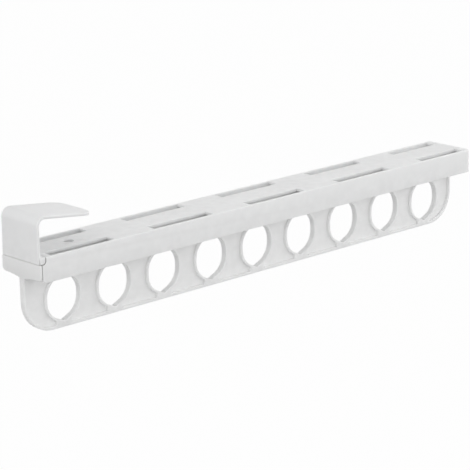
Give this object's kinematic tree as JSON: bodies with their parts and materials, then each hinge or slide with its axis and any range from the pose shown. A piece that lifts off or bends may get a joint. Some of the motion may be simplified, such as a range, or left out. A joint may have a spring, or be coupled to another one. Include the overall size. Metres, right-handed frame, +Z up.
{
  "type": "pull-out hanger rail",
  "caption": "Pull-out hanger rail that clips on the front edge of a wardrobe shelf; a slide with a row of V-bottomed holes carries clothes-hanger hooks.",
  "frame": {"origin": "middle of the rail's top face, which lies against the underside of the shelf", "axes": "+Z up, square to the shelf; +X along the rail from its front end to its rear end, so the slide pulls out towards -X; +Y to the side"},
  "size_m": [0.4022, 0.04, 0.0815],
  "materials": {
    "rail": "white moulded plastic, fine satin",
    "shelf_clip": "white moulded plastic, fine satin",
    "hanger_slide": "white moulded plastic, fine satin"
  },
  "bodies": {
    "rail": {"rail": "rail", "shelf_clip": "shelf_clip"},
    "slide": {"hanger_slide": "hanger_slide"}
  },
  "joints": [
    {"name": "pull_out", "type": "slide", "parent": "rail", "child": "slide", "axis": [-1, 0, 0], "range_m": [0, 0.2735]}
  ]
}
